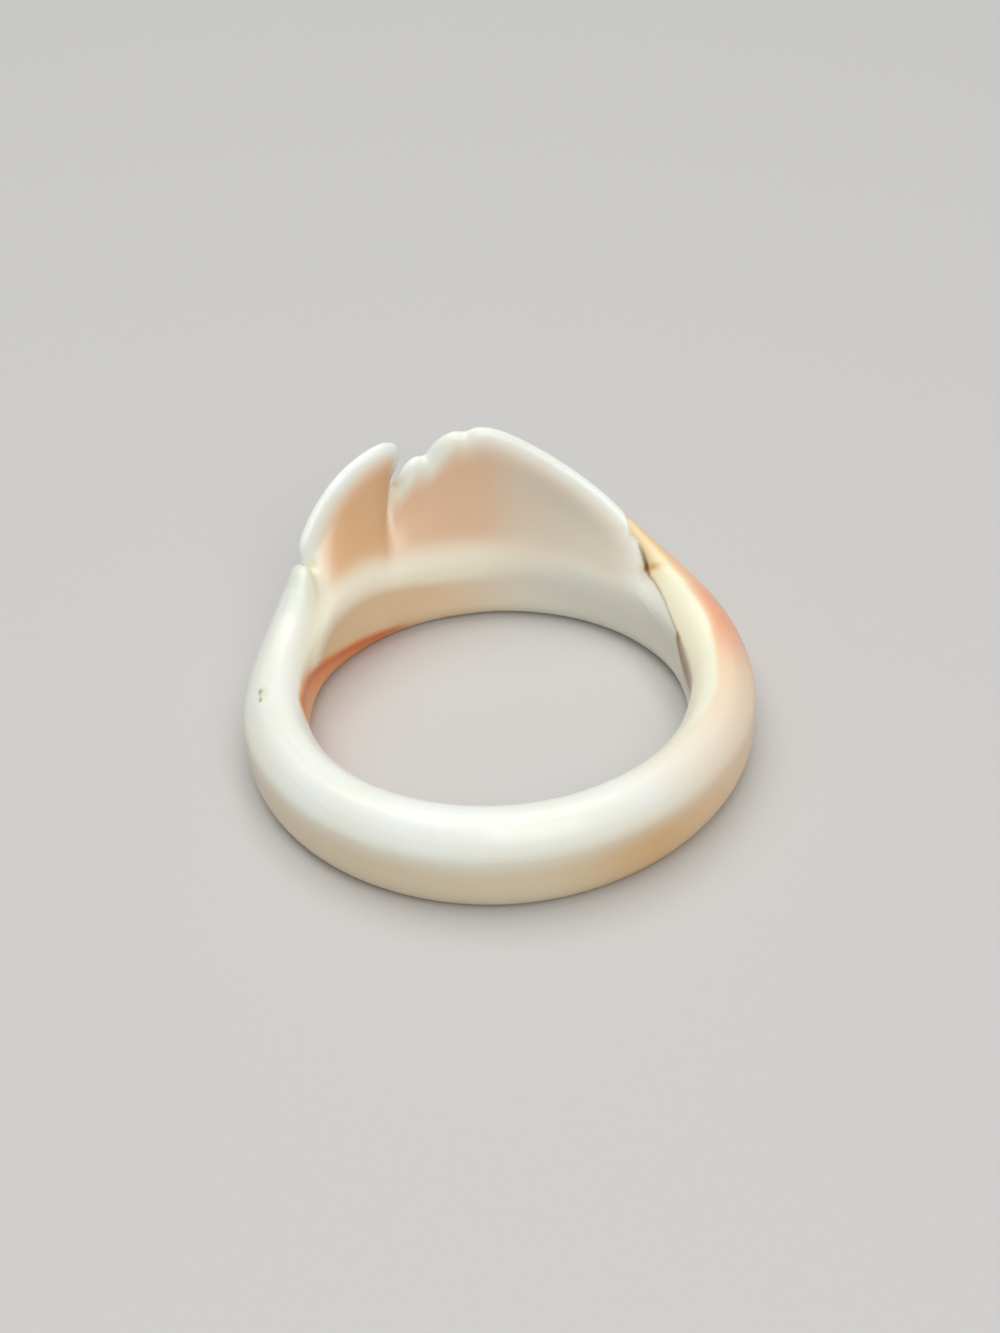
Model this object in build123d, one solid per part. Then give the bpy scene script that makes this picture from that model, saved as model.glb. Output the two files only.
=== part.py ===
from build123d import *
import os
import numpy as np

# A finger ring carved from one piece of shell. It lies on its side: the bore axis is +Z,
# the base plane is the flat underside, and the raised head with its two petals is towards +Y.

# Driving sizes, in millimetres.
BORE_DIAMETER = 17.3     # finger hole, wall to wall
BAND_THICKNESS = 2.85    # back of the band, from the bore wall to the outside
BAND_WIDTH = 4.3         # back of the band, along the finger
HEAD_HEIGHT = 9.5        # top of the large petal above the base plane
HEAD_REACH = 2.5         # middle of the large petal's rim, outside the bore wall
RIM_THICKNESS = 0.96     # petals at their rim
NICK_DEPTH = 0.6         # notch in the rim; the one at the left shoulder is 1.8 times as deep
WALL_TOP = 4.1           # upper edge of the bore wall at the shoulders, above the base plane
BELLY_SWELL = 0.45       # outside of the head at its belt, beyond the band's own outside
BELLY_HEIGHT = 2.0       # height of that belt above the base plane
DISH_DEPTH = 0.45        # hollow in the petals' inner face
FRONT_SWELL = 0.55       # dome of the head's outer face
LEFT_FILL = 0.05         # swell behind the left shoulder's notch
EDGE_ROUNDING = 0.25     # how far the bore wall's upper edge is eased back on the right
BORE_OVERLAP = 0.05      # the blank stands this far into the bore, which is cut afterwards
BASE_OVERLAP = 0.12      # the blank's control points hang this far below the base plane

# The rim, anticlockwise from the right shoulder over both petals to the left shoulder.
# direction and foot are in degrees around the bore: where the rim is, and where its section
# stands on the bore wall. The other columns are shares of the named sizes:
# height of HEAD_HEIGHT, nick of NICK_DEPTH, reach of HEAD_REACH, thickness of RIM_THICKNESS.
RIM_ROWS = [
    # direction, foot, height, nick, reach, thickness
    (14.0, 14.0, 0.453, 0.000, 0.576, 2.979),      # right shoulder
    (23.0, 23.0, 0.468, 0.000, 0.592, 2.958),
    (31.0, 31.0, 0.469, 0.000, 0.648, 2.625),
    (38.0, 38.0, 0.482, 0.000, 0.728, 2.167),
    (44.5, 44.5, 0.511, 0.000, 0.808, 1.708),
    (50.5, 50.5, 0.562, 0.000, 0.880, 1.333),
    (56.0, 56.0, 0.623, 0.000, 0.928, 1.125),      # large petal
    (61.0, 61.0, 0.686, 0.000, 0.960, 1.042),
    (66.0, 66.0, 0.745, 0.000, 0.976, 1.000),
    (72.0, 72.5, 0.819, 0.000, 0.992, 1.000),
    (78.0, 79.2, 0.889, 0.000, 1.000, 1.000),
    (83.5, 85.6, 0.955, 0.000, 1.000, 1.000),
    (88.5, 91.6, 0.998, 0.000, 1.000, 1.000),
    (92.4, 96.6, 1.007, 0.050, 1.000, 0.958),      # first small notch
    (94.4, 99.4, 1.004, 0.500, 1.000, 0.917),
    (96.6, 102.2, 1.000, 0.033, 1.000, 0.958),
    (100.2, 106.4, 0.971, 0.000, 1.000, 0.958),
    (103.0, 109.8, 0.935, 0.200, 1.000, 0.917),    # second small notch
    (104.6, 112.0, 0.909, 0.667, 1.000, 0.875),
    (106.6, 114.0, 0.893, 0.033, 0.992, 0.833),
    (109.2, 116.0, 0.869, 0.000, 0.968, 0.750),    # down the large petal's left edge
    (111.4, 117.8, 0.822, 0.000, 0.940, 0.625),
    (112.6, 119.2, 0.776, 0.000, 0.968, 0.479),
    (113.2, 120.4, 0.756, 0.000, 1.032, 0.417),    # bottom of the cleft between the petals
    (113.4, 121.5, 0.756, 0.000, 1.112, 0.396),
    (112.2, 122.4, 0.786, 0.000, 1.176, 0.417),    # up the small petal's right edge
    (110.6, 123.3, 0.822, 0.000, 1.212, 0.479),
    (110.0, 124.3, 0.862, 0.000, 1.224, 0.562),
    (109.8, 125.6, 0.904, 0.000, 1.220, 0.688),
    (110.6, 127.4, 0.952, 0.000, 1.204, 0.833),    # small petal's tip
    (113.8, 129.8, 0.985, 0.000, 1.176, 0.958),
    (119.2, 132.5, 0.962, 0.000, 1.144, 1.000),
    (125.2, 135.5, 0.921, 0.000, 1.112, 1.000),
    (131.0, 138.5, 0.855, 0.000, 1.080, 1.000),
    (136.3, 141.4, 0.775, 0.000, 1.048, 1.000),
    (140.6, 143.9, 0.691, 0.000, 1.016, 0.958),
    (142.3, 145.6, 0.638, 0.000, 0.992, 0.875),
    (141.7, 146.8, 0.629, 1.800, 0.960, 0.833),    # notch at the left shoulder
    (143.0, 147.9, 0.625, 0.900, 0.900, 1.042),
    (145.0, 149.2, 0.627, 0.000, 0.768, 1.625),    # left shoulder
    (148.6, 151.8, 0.583, 0.000, 0.704, 1.875),
    (153.6, 155.6, 0.520, 0.000, 0.640, 2.083),
    (160.5, 161.2, 0.467, 0.000, 0.580, 2.333),
    (169.5, 169.8, 0.440, 0.000, 0.548, 2.583),
]

# The band around the back. thickness is a share of BAND_THICKNESS, width of BAND_WIDTH.
BAND_ROWS = [
    # direction, thickness, width
    (10, 1.004, 0.965),
    (170, 0.933, 0.942),
    (195, 0.989, 0.953),
    (215, 0.982, 0.965),
    (240, 0.996, 1.000),
    (270, 1.018, 1.019),
    (300, 0.982, 1.012),
    (325, 0.975, 0.977),
    (345, 1.011, 0.953),
    (370, 1.004, 0.965),
]
BAND_START, BAND_END = 179.0, 366.0    # degrees, first and last section of the plain band
BAND_SECTIONS = 13

# The bore wall's upper edge, as a share of WALL_TOP.
WALL_TOP_ROWS = [
    # foot, height
    (6, 0.146), (16, 0.580), (25, 0.680), (38, 0.740), (54, 0.790), (71, 0.780), (87, 0.695),
    (103, 0.744), (120, 0.878), (134, 1.000), (150, 0.950), (165, 0.680), (182, 0.146),
]

# The bore wall's lower edge, as a share of BAND_WIDTH.
WALL_FOOT_ROWS = [
    # foot, height
    (0, 0.233), (20, 0.228), (45, 0.195), (70, 0.149), (100, 0.170), (125, 0.285),
    (150, 0.330), (165, 0.250), (180, 0.170), (200, 0.210), (340, 0.233), (360, 0.233),
]

# Where each feature fades in and out, in degrees of foot.
PETALS = (14, 56, 150, 180)         # thin petals, and the round band outside
DISH = (44, 76, 126, 150)           # the hollow in the petals
NOTCH_SWELL = (143, 151, 158, 172)  # the swell behind the left shoulder's notch
CLEFT = (114, 119, 124, 129)        # no dome on the head's outer face behind the cleft
BELT = (20, 60, 145, 170)           # the swollen belt round the outside of the head
CALMING = (139, 146)                # from here on the dish forgets the notch, and the rim
                                    # keeps the left shoulder's firmer rounding
NOTCH_INSIDE = (139, 143, 150, 154) # the rim's inner corner runs on past the notch
RIGHT_WALL = (26, 40, 55, 78)       # the bore wall's upper edge is eased here

# The rim's rounding, in half thicknesses of the rim: out across it and down into the material.
RIM_CORNER_IN, RIM_CORNER_OUT = -1.06, 1.03
RIM_CROWN = [
    # out, down, further down on the petals
    (-0.56, 0.00, 0.3), (0.00, -0.06, 0.0), (0.50, 0.05, 0.0),
]
DEPTH_IN_BAND, DEPTH_IN_PETAL, DEPTH_IN_THIN = 0.72, 0.90, 1.5
DEPTH_OUT, DEPTH_OUT_THIN = 0.76, 1.6
THIN_STARTS, THIN_SPAN = 1.67, 0.58    # shares of RIM_THICKNESS between which a rim turns thin
LEAST_RUN = 0.15    # the rim runs on at least this far in mm, also where it doubles back

# The section's other control points.
WALL_MIDDLE = 0.55                     # share of the way up the bore wall
DISH_SHARES = (0.30, 0.68)             # shares of the way from the wall's edge to the rim
FRONT_SHARES = (0.32, 0.68)            # shares of the way from the rim to the belt
NEAR_RIM = 0.8                         # share of the dish and of the dome near the wall and rim
BAND_BELT_SWELL = 0.06                 # belt of the plain band, beyond its thickness, in mm
BAND_BELT_HEIGHT = 0.42                # height of the plain band's belt, share of its width
UNDER_BELT = 0.2                       # height of the point under the belt, share of the width
UNDERSIDE = [(0.85, 0.0), (0.5, -1.0), (0.2, 0.17)]   # shares of thickness and BASE_OVERLAP

ALONG_STEPS = 3      # facets from one section to the next
ROUND_STEPS = 2      # facets from one control point of a section to the next

bore_radius = BORE_DIAMETER / 2
base_z = -BAND_WIDTH / 2


def blend(a, b, share):
    """Straight blend from a to b, point by point when share has one value for each section."""
    share = np.asarray(share, dtype=float)
    if share.ndim == 1:
        share = share[:, None]
    return a + (b - a) * share


def ramp(x, start, end):
    """Smooth step from 0 at start to 1 at end."""
    t = np.clip((x - start) / (end - start), 0, 1)
    return t * t * (3 - 2 * t)


def zone(x, spans):
    """Smooth plateau: 0, then 1 between the second and third of the four limits, then 0."""
    return ramp(x, spans[0], spans[1]) * (1 - ramp(x, spans[2], spans[3]))


def relaxed(values, passes):
    """Each value averaged with its neighbours around the ring, the given number of times."""
    for _ in range(passes):
        values = (np.roll(values, 1, 0) + 2 * values + np.roll(values, -1, 0)) / 4
    return values


def closed_spline(control, steps):
    """Points on the closed uniform cubic B-spline of the control rows, steps to a span."""
    u = (np.arange(steps) / steps)[:, None]
    weights = np.hstack([(1 - u) ** 3, 3 * u ** 3 - 6 * u ** 2 + 4,
                         -3 * u ** 3 + 3 * u ** 2 + 3 * u + 1, u ** 3]) / 6
    count = len(control)
    around = (np.arange(count)[:, None] + np.arange(-1, 3)[None, :]) % count
    points = np.einsum("uk,nk...->nu...", weights, control[around])
    return points.reshape((count * steps,) + control.shape[1:])


def section_controls():
    """Control points of every section as (outside the bore wall, height, angle in radians)."""
    rim_rows = np.array(RIM_ROWS)
    band_rows = np.array(BAND_ROWS)
    band_angle = np.linspace(BAND_START, BAND_END, BAND_SECTIONS)

    def band_thickness(degrees):
        return BAND_THICKNESS * np.interp(degrees, band_rows[:, 0], band_rows[:, 1])

    def band_width(degrees):
        return BAND_WIDTH * np.interp(degrees, band_rows[:, 0], band_rows[:, 2])

    # One row for each section: the rim table first, then the plain band.
    half_band = band_thickness(band_angle) / 2
    direction = np.append(rim_rows[:, 0], band_angle)
    foot = np.append(rim_rows[:, 1], band_angle)
    top = np.append(HEAD_HEIGHT * rim_rows[:, 2], band_width(band_angle))
    nick = np.append(NICK_DEPTH * rim_rows[:, 3], 0 * band_angle)
    reach = np.append(HEAD_REACH * rim_rows[:, 4], half_band)
    half = np.append(RIM_THICKNESS / 2 * rim_rows[:, 5], half_band)

    turned = np.where(foot < band_rows[0, 0], foot + 360, foot)
    thickness = band_thickness(turned)
    width = band_width(turned)
    foot_angle = np.unwrap(np.radians(foot), period=2 * np.pi)
    rim_angle = np.unwrap(np.radians(direction), period=2 * np.pi)
    rim_radius = bore_radius + reach

    # petal is 1 where the section is a thin petal and 0 where it is a round band.
    petal = zone(foot, PETALS)
    thin = np.clip((THIN_STARTS - 2 * half / RIM_THICKNESS) / THIN_SPAN, 0, 1)
    hollow = petal * zone(foot, DISH)

    # The rim's own direction, so that its rounding stands square to the edge, cleft included.
    ahead = (np.roll(rim_angle, -1) - np.roll(rim_angle, 1) + np.pi) % (2 * np.pi) - np.pi
    ahead = np.maximum(ahead * rim_radius, LEAST_RUN)

    def rim_points(line, out, down):
        """Points off the rim line: out across its thickness, down into the material."""
        rise = np.roll(line, -1) - np.roll(line, 1)
        length = np.hypot(ahead, rise)
        return np.stack([reach + out * half, line - down * half * ahead / length,
                         rim_angle + down * half * rise / length / rim_radius], -1)

    def points(outside, height):
        """Points on the section's own half plane."""
        level = np.ones(len(foot))
        return np.stack([outside * level, height * level, foot_angle], -1)

    wall_rows = np.array(WALL_TOP_ROWS)
    foot_rows = np.array(WALL_FOOT_ROWS)
    wall_top = WALL_TOP * relaxed(np.interp(foot, wall_rows[:, 0], wall_rows[:, 1]), 3)
    wall_foot = BAND_WIDTH * np.interp(foot, foot_rows[:, 0], foot_rows[:, 1])

    # Rim corners, with the notches for the rim itself and without them for the faces below.
    soft = petal * (1 - ramp(foot, *CALMING))
    deep_in = DEPTH_IN_BAND + (DEPTH_IN_PETAL - DEPTH_IN_BAND) * soft
    deep_in = deep_in + (DEPTH_IN_THIN - deep_in) * thin
    deep_out = DEPTH_OUT + (DEPTH_OUT_THIN - DEPTH_OUT) * thin
    notched = top - nick
    inner_rim = rim_points(notched, RIM_CORNER_IN, deep_in)
    outer_rim = rim_points(notched, RIM_CORNER_OUT, deep_out)
    inner_plain = rim_points(top, RIM_CORNER_IN, deep_in)
    outer_plain = rim_points(top, RIM_CORNER_OUT, deep_out)

    # The dish, from the wall's upper edge to the rim's inner corner.
    outward = np.array([1.0, 0.0, 0.0])
    dish = outward * (DISH_DEPTH * hollow - LEFT_FILL * zone(foot, NOTCH_SWELL))[:, None]
    wall_edge = points(-BORE_OVERLAP + EDGE_ROUNDING * zone(foot, RIGHT_WALL), wall_top)
    inner_rim = blend(inner_rim, relaxed(inner_plain, 4), zone(foot, NOTCH_INSIDE))
    calm = blend(relaxed(inner_plain, 2), relaxed(inner_plain, 5), ramp(foot, *CALMING))
    aim_low = blend(inner_rim, relaxed(inner_plain, 8), petal)
    aim_high = blend(inner_rim, calm, petal)
    dish_low = blend(wall_edge, aim_low, DISH_SHARES[0]) + NEAR_RIM * dish
    dish_high = blend(wall_edge, aim_high, DISH_SHARES[1]) + dish

    # The outer face, from the rim's outer corner down to the belt.
    head_belt = relaxed(petal, 4) * zone(foot, BELT)
    belt_out = thickness + BAND_BELT_SWELL + (BELLY_SWELL - BAND_BELT_SWELL) * head_belt
    band_height = BAND_BELT_HEIGHT * width
    belt_height = band_height + (BELLY_HEIGHT - band_height) * relaxed(petal, 2)
    belt = points(belt_out, belt_height)
    dome = outward * (FRONT_SWELL * hollow * (1 - zone(foot, CLEFT)))[:, None]
    from_high = blend(outer_rim, relaxed(outer_plain, 2), petal)
    from_low = blend(outer_rim, relaxed(outer_plain, 8), petal)
    front_high = blend(from_high, belt, FRONT_SHARES[0]) + NEAR_RIM * dome
    front_low = blend(from_low, belt, FRONT_SHARES[1]) + dome

    wall = [points(-BORE_OVERLAP, wall_foot),
            points(-BORE_OVERLAP, wall_foot + WALL_MIDDLE * (wall_top - wall_foot)), wall_edge]
    crown = [rim_points(notched, out, down + fall * soft) for out, down, fall in RIM_CROWN]
    under = [points((thickness + belt_out) / 2, UNDER_BELT * width)]
    under += [points(share * thickness, drop * BASE_OVERLAP) for share, drop in UNDERSIDE]
    return np.stack(wall + [dish_low, dish_high, inner_rim] + crown
                    + [outer_rim, front_high, front_low, belt] + under, 1)


def blank_grid():
    """The blank's surface points, sections around the ring by points around each section."""
    control = section_controls()
    count = len(control)
    # The even turn is taken off the angle while the spline runs, so that it closes on itself.
    control[..., 2] -= np.linspace(0, 2 * np.pi, count, endpoint=False)[:, None]
    grid = closed_spline(control, ALONG_STEPS)
    grid = np.swapaxes(closed_spline(np.swapaxes(grid, 0, 1), ROUND_STEPS), 0, 1)
    turn = np.linspace(0, 2 * np.pi, count * ALONG_STEPS, endpoint=False)[:, None]
    radius = bore_radius + grid[..., 0]
    angle = grid[..., 2] + turn
    return np.stack([radius * np.cos(angle), radius * np.sin(angle), grid[..., 1] + base_z], -1)


def faceted_solid(grid):
    """Solid from a grid that is closed both ways, two triangles to a cell."""
    rows, columns = grid.shape[:2]
    corner = [[Vector(*grid[i, j]) for j in range(columns)] for i in range(rows)]
    faces = []
    for i in range(rows):
        for j in range(columns):
            a, b = corner[i][j], corner[(i + 1) % rows][j]
            c, d = corner[(i + 1) % rows][(j + 1) % columns], corner[i][(j + 1) % columns]
            faces.append(Face(Wire.make_polygon([a, b, c])))
            faces.append(Face(Wire.make_polygon([a, c, d])))
    solid = Solid(Shell(faces))
    if solid.volume < 0:
        solid = Solid(solid.wrapped.Reversed())
    return solid


blank = faceted_solid(blank_grid())
cutter_height = 4 * HEAD_HEIGHT
bore = Cylinder(bore_radius, cutter_height)
below_size = 4 * BORE_DIAMETER
below = Pos(0, 0, base_z - BAND_WIDTH / 2) * Box(below_size, below_size, BAND_WIDTH)
ring = blank - bore - below
ring = ring.solids().sort_by(SortBy.VOLUME)[-1]
ring.label = "carved_ring"

os.makedirs("parts", exist_ok=True)
export_step(ring, "parts/carved_ring.step")
box = ring.bounding_box()
print("volume mm3", round(ring.volume, 2), "size", round(box.size.X, 2), round(box.size.Y, 2),
      round(box.size.Z, 2), "faces", len(ring.faces()))
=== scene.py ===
import bpy
import numpy as np
from mathutils import Matrix, Vector


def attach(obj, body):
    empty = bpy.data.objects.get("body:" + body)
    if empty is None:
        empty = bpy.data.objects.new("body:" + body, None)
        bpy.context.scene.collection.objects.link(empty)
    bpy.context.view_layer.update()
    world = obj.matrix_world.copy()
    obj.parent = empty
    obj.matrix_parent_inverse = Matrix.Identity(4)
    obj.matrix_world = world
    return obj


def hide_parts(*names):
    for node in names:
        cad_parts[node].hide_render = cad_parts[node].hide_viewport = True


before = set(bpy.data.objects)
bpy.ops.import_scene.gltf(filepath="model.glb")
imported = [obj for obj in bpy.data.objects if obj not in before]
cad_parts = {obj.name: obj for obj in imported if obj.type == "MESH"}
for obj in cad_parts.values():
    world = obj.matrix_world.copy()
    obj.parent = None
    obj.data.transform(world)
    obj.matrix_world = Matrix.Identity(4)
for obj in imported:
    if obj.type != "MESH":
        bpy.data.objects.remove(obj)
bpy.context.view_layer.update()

# The ring's form. It is one piece of seashell, sawn out where the thick lip runs into the thinner
# wall: a rounded band for the finger that rises into a head of two hollowed petals, filed to
# shape and polished by hand. All lengths are millimetres until the mesh is made.
BORE_DIAMETER = 17.3     # finger hole, wall to wall
BAND_THICKNESS = 2.85    # back of the band, from the bore wall to the outside
BAND_WIDTH = 4.3         # back of the band, along the finger
HEAD_HEIGHT = 9.5        # top of the large petal above the table
HEAD_REACH = 2.5         # middle of the large petal's rim, outside the bore wall
RIM_THICKNESS = 0.96     # petals at their rim
NICK_DEPTH = 0.6         # notch in the rim; the one at the left shoulder is 1.8 times as deep
WALL_TOP = 4.1           # upper edge of the bore wall at the shoulders, above the table
BELLY_SWELL = 0.45       # outside of the head at its belt, beyond the band's own outside
BELLY_HEIGHT = 2.0       # height of that belt above the table
DISH_DEPTH = 0.45        # hollow in the petals' inner face
FRONT_SWELL = 0.55       # dome of the head's outer face
LEFT_FILL = 0.05         # swell behind the left shoulder's notch
LEAST_RUN = 0.15         # the rim runs on at least this far, also where it doubles back
EDGE_ROUNDING = 0.25     # how far the bore wall's upper edge is eased back on the right
WALL_SOFTNESS = 0.03     # rounding where the bore wall runs into the faces above and below it
BORE_OVERLAP = 0.05      # the control points stand this far into the bore
BASE_OVERLAP = 0.12      # and this far below the table, before both are cut true

# The rim, anticlockwise seen from above: where it is and where its section stands on the bore
# wall, in degrees, then shares of HEAD_HEIGHT, NICK_DEPTH, HEAD_REACH and RIM_THICKNESS.
rim_rows = np.array([
    # direction, foot, height, nick, reach, thickness
    (14.0, 14.0, 0.453, 0.000, 0.576, 2.979),      # right shoulder
    (23.0, 23.0, 0.468, 0.000, 0.592, 2.958),
    (31.0, 31.0, 0.469, 0.000, 0.648, 2.625),
    (38.0, 38.0, 0.482, 0.000, 0.728, 2.167),
    (44.5, 44.5, 0.511, 0.000, 0.808, 1.708),
    (50.5, 50.5, 0.562, 0.000, 0.880, 1.333),
    (56.0, 56.0, 0.623, 0.000, 0.928, 1.125),      # large petal
    (61.0, 61.0, 0.686, 0.000, 0.960, 1.042),
    (66.0, 66.0, 0.745, 0.000, 0.976, 1.000),
    (72.0, 72.5, 0.819, 0.000, 0.992, 1.000),
    (78.0, 79.2, 0.889, 0.000, 1.000, 1.000),
    (83.5, 85.6, 0.955, 0.000, 1.000, 1.000),
    (88.5, 91.6, 0.998, 0.000, 1.000, 1.000),
    (92.4, 96.6, 1.007, 0.050, 1.000, 0.958),      # first small notch
    (94.4, 99.4, 1.004, 0.500, 1.000, 0.917),
    (96.6, 102.2, 1.000, 0.033, 1.000, 0.958),
    (100.2, 106.4, 0.971, 0.000, 1.000, 0.958),
    (103.0, 109.8, 0.935, 0.200, 1.000, 0.917),    # second small notch
    (104.6, 112.0, 0.909, 0.667, 1.000, 0.875),
    (106.6, 114.0, 0.893, 0.033, 0.992, 0.833),
    (109.2, 116.0, 0.869, 0.000, 0.968, 0.750),    # down the large petal's left edge
    (111.4, 117.8, 0.822, 0.000, 0.940, 0.625),
    (112.6, 119.2, 0.776, 0.000, 0.968, 0.479),
    (113.2, 120.4, 0.756, 0.000, 1.032, 0.417),    # bottom of the cleft between the petals
    (113.4, 121.5, 0.756, 0.000, 1.112, 0.396),
    (112.2, 122.4, 0.786, 0.000, 1.176, 0.417),    # up the small petal's right edge
    (110.6, 123.3, 0.822, 0.000, 1.212, 0.479),
    (110.0, 124.3, 0.862, 0.000, 1.224, 0.562),
    (109.8, 125.6, 0.904, 0.000, 1.220, 0.688),
    (110.6, 127.4, 0.952, 0.000, 1.204, 0.833),    # small petal's tip
    (113.8, 129.8, 0.985, 0.000, 1.176, 0.958),
    (119.2, 132.5, 0.962, 0.000, 1.144, 1.000),
    (125.2, 135.5, 0.921, 0.000, 1.112, 1.000),
    (131.0, 138.5, 0.855, 0.000, 1.080, 1.000),
    (136.3, 141.4, 0.775, 0.000, 1.048, 1.000),
    (140.6, 143.9, 0.691, 0.000, 1.016, 0.958),
    (142.3, 145.6, 0.638, 0.000, 0.992, 0.875),
    (141.7, 146.8, 0.629, 1.800, 0.960, 0.833),    # notch at the left shoulder
    (143.0, 147.9, 0.625, 0.900, 0.900, 1.042),
    (145.0, 149.2, 0.627, 0.000, 0.768, 1.625),    # left shoulder
    (148.6, 151.8, 0.583, 0.000, 0.704, 1.875),
    (153.6, 155.6, 0.520, 0.000, 0.640, 2.083),
    (160.5, 161.2, 0.467, 0.000, 0.580, 2.333),
    (169.5, 169.8, 0.440, 0.000, 0.548, 2.583),
])

# The plain band round the back: shares of BAND_THICKNESS and BAND_WIDTH.
band_rows = np.array([
    # direction, thickness, width
    (10, 1.004, 0.965), (170, 0.933, 0.942), (195, 0.989, 0.953), (215, 0.982, 0.965),
    (240, 0.996, 1.000), (270, 1.018, 1.019), (300, 0.982, 1.012), (325, 0.975, 0.977),
    (345, 1.011, 0.953), (370, 1.004, 0.965),
])
BAND_START, BAND_END = 179.0, 366.0    # degrees, first and last section of the plain band
BAND_SECTIONS = 15

# The bore wall's upper and lower edge, as shares of WALL_TOP and BAND_WIDTH.
wall_top_rows = np.array([
    # foot, height
    (6, 0.146), (16, 0.580), (25, 0.680), (38, 0.740), (54, 0.790), (71, 0.780), (87, 0.695),
    (103, 0.744), (120, 0.878), (134, 1.000), (150, 0.950), (165, 0.680), (182, 0.146),
])
wall_foot_rows = np.array([
    # foot, height
    (0, 0.233), (20, 0.228), (45, 0.195), (70, 0.149), (100, 0.170), (125, 0.285),
    (150, 0.330), (165, 0.250), (180, 0.170), (200, 0.210), (340, 0.233), (360, 0.233),
])

# Where each feature fades in and out, in degrees of foot.
PETALS = (14, 56, 150, 180)            # thin petals, and the round band outside
DISH = (44, 76, 126, 150)              # the hollow in the petals
NOTCH_SWELL = (143, 151, 158, 172)     # the swell behind the left shoulder's notch
CLEFT = (114, 119, 124, 129)           # no dome on the head's outer face behind the cleft
BELT = (20, 60, 145, 170)              # the swollen belt round the outside of the head
NOTCH_INSIDE = (139, 143, 150, 154)    # the rim's inner corner runs on past the notch
RIGHT_WALL = (26, 40, 55, 78)          # the bore wall's upper edge is eased here
STRAIGHT_WALL = (182, 195, 345, 358)   # the bore wall runs straight up behind the plain band
CALMING = (139, 146)                   # from here on the dish forgets the notch, and the rim
                                       # keeps the left shoulder's firmer rounding

# The rim's rounding, in half thicknesses of the rim: out across it and down into the shell.
RIM_CORNER_IN, RIM_CORNER_OUT = -1.06, 1.03
RIM_CROWN = [
    # out, down, further down on the petals
    (-0.56, 0.00, 0.3), (0.00, -0.06, 0.0), (0.50, 0.05, 0.0),
]
DEPTH_IN_BAND, DEPTH_IN_PETAL, DEPTH_IN_THIN = 0.72, 0.90, 1.5
DEPTH_OUT, DEPTH_OUT_THIN = 0.76, 1.6
THIN_STARTS, THIN_SPAN = 1.67, 0.58    # shares of RIM_THICKNESS: a rim under the first turns thin
                                       # over the second

# The section's other control points.
WALL_MIDDLE = 0.55                     # share of the way up the bore wall
DISH_SHARES = (0.30, 0.68)             # shares of the way from the wall's edge to the rim
FRONT_SHARES = (0.32, 0.68)            # shares of the way from the rim to the belt
NEAR_RIM = 0.8                         # share of the dish and of the dome near the wall and rim
BAND_BELT_SWELL = 0.06                 # belt of the plain band, beyond its thickness
BAND_BELT_HEIGHT = 0.42                # height of the plain band's belt, share of its width
UNDER_BELT = 0.2                       # height of the point under the belt, share of the width
UNDERSIDE = [(0.85, 0.0), (0.5, -1.0), (0.2, 0.17)]   # shares of thickness and BASE_OVERLAP


def from_rows(rows, position, column=1):
    """One column of a table at each position, by straight lines between the table's rows, whose
    first column is the position."""
    rows = np.array(rows)
    return np.interp(position, rows[:, 0], rows[:, column])


def ramp(x, start, end):
    """Smooth step: the cubic 3t^2 - 2t^3 of the way from start to end, 0 before and 1 after."""
    t = np.clip((x - start) / (end - start), 0, 1)
    return t * t * (3 - 2 * t)


def zone(x, spans):
    """Smooth plateau: one ramp up between the first two limits times one down between the last."""
    return ramp(x, spans[0], spans[1]) * (1 - ramp(x, spans[2], spans[3]))


def blend(a, b, share):
    """Straight blend a + share (b - a), with one share for each section or one for all."""
    share = np.asarray(share, dtype=float)
    return a + (b - a) * (share[:, None] if share.ndim == 1 else share)


def relaxed(values, passes):
    """Each value becomes a quarter of its two neighbours plus a half of itself, pass by pass."""
    for _ in range(passes):
        values = (np.roll(values, 1, 0) + 2 * values + np.roll(values, -1, 0)) / 4
    return values


def positions(steps):
    """Positions counted in rows, where each row is divided into its own number of steps."""
    return np.concatenate([row + np.arange(count) / count for row, count in enumerate(steps)])


def on_spline(control, at):
    """Closed uniform cubic B-spline at positions counted in control rows: four rows weighted
    by (1-u)^3, 3u^3-6u^2+4, -3u^3+3u^2+3u+1 and u^3, over 6."""
    row = np.floor(at).astype(int)
    u = (at - row)[:, None]
    weights = np.hstack([(1 - u) ** 3, 3 * u ** 3 - 6 * u ** 2 + 4,
                         -3 * u ** 3 + 3 * u ** 2 + 3 * u + 1, u ** 3]) / 6
    rows = (row[:, None] + np.arange(-1, 3)[None, :]) % len(control)
    return np.einsum("pk,pk...->p...", weights, control[rows])


# One value for each section: the rim's rows first, then the plain band.
bore_radius = BORE_DIAMETER / 2
band_angle = np.linspace(BAND_START, BAND_END, BAND_SECTIONS)
half_band = BAND_THICKNESS * from_rows(band_rows, band_angle) / 2
direction = np.append(rim_rows[:, 0], band_angle)
foot = np.append(rim_rows[:, 1], band_angle)
top = np.append(HEAD_HEIGHT * rim_rows[:, 2], BAND_WIDTH * from_rows(band_rows, band_angle, 2))
nick = np.append(NICK_DEPTH * rim_rows[:, 3], 0 * band_angle)
reach = np.append(HEAD_REACH * rim_rows[:, 4], half_band)
half = np.append(RIM_THICKNESS / 2 * rim_rows[:, 5], half_band)
sections = len(foot)
turned = np.where(foot < band_rows[0, 0], foot + 360, foot)
thickness = BAND_THICKNESS * from_rows(band_rows, turned)
width = BAND_WIDTH * from_rows(band_rows, turned, 2)
foot_angle = np.unwrap(np.radians(foot), period=2 * np.pi)
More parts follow.
